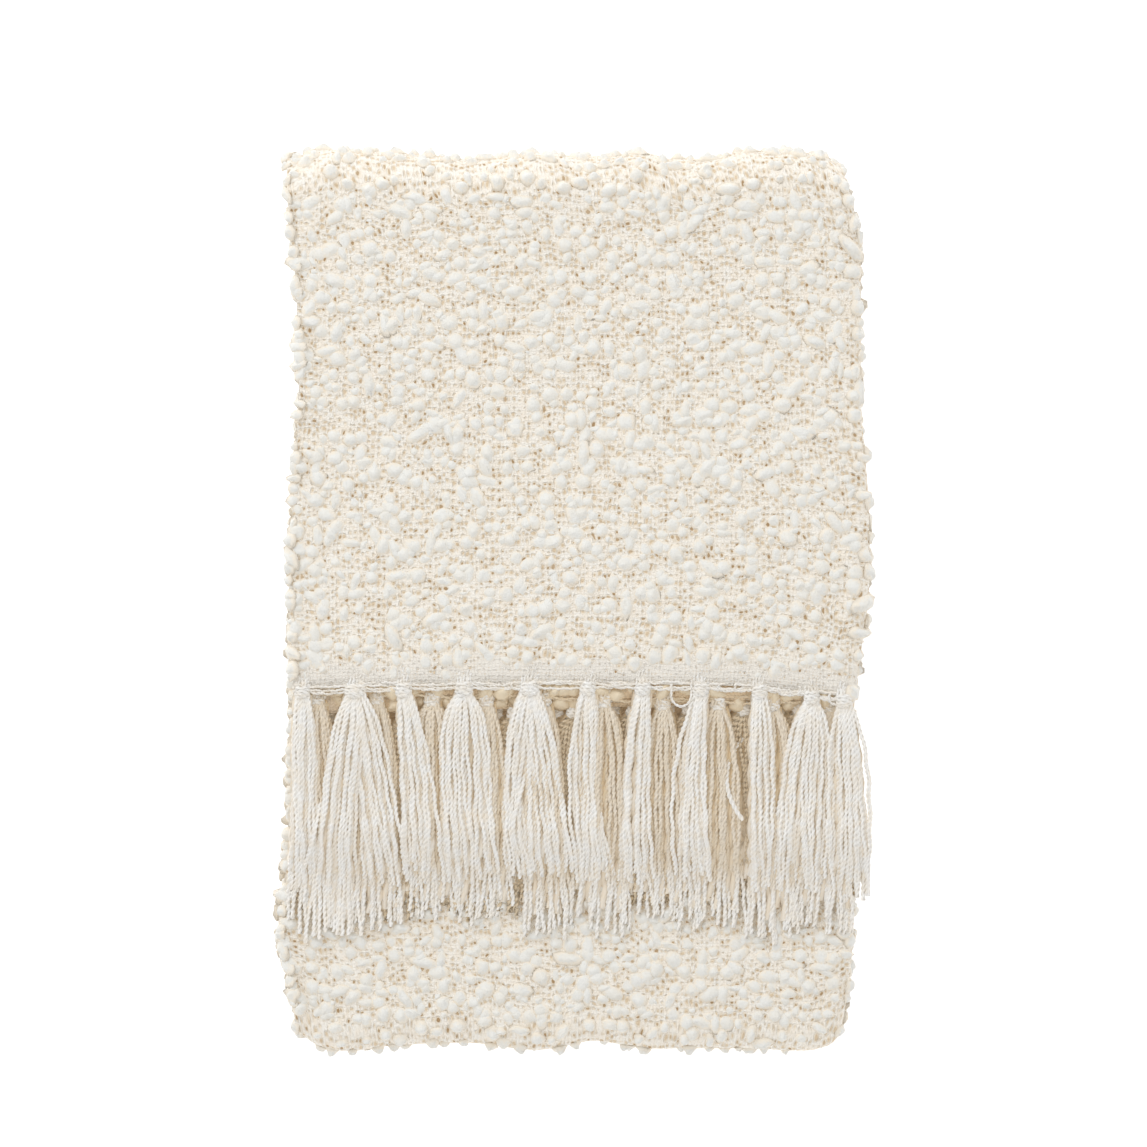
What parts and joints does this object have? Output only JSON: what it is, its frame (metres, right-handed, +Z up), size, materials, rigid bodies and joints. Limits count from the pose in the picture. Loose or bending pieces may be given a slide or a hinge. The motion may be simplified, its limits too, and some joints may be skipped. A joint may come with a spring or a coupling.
{
  "type": "folded woven throw",
  "caption": "Woven throw with a nubbly slub weave and a knotted fringe at both short ends, folded into a flat rectangle and laid down",
  "frame": {"origin": "centre of the folded throw's box, on the surface it lies on", "axes": "+X across the folded throw, +Y from the fringe towards the turned-over fold, +Z up"},
  "size_m": [0.3282, 0.4991, 0.0657],
  "materials": {
    "cloth": "matt ivory slub weave with soft white nubs",
    "fringe": "matt off-white plied yarn, knotted and cut"
  },
  "bodies": {
    "root": {"cloth": "cloth", "fringe_upper": "fringe", "fringe_under": "fringe"}
  },
  "joints": []
}
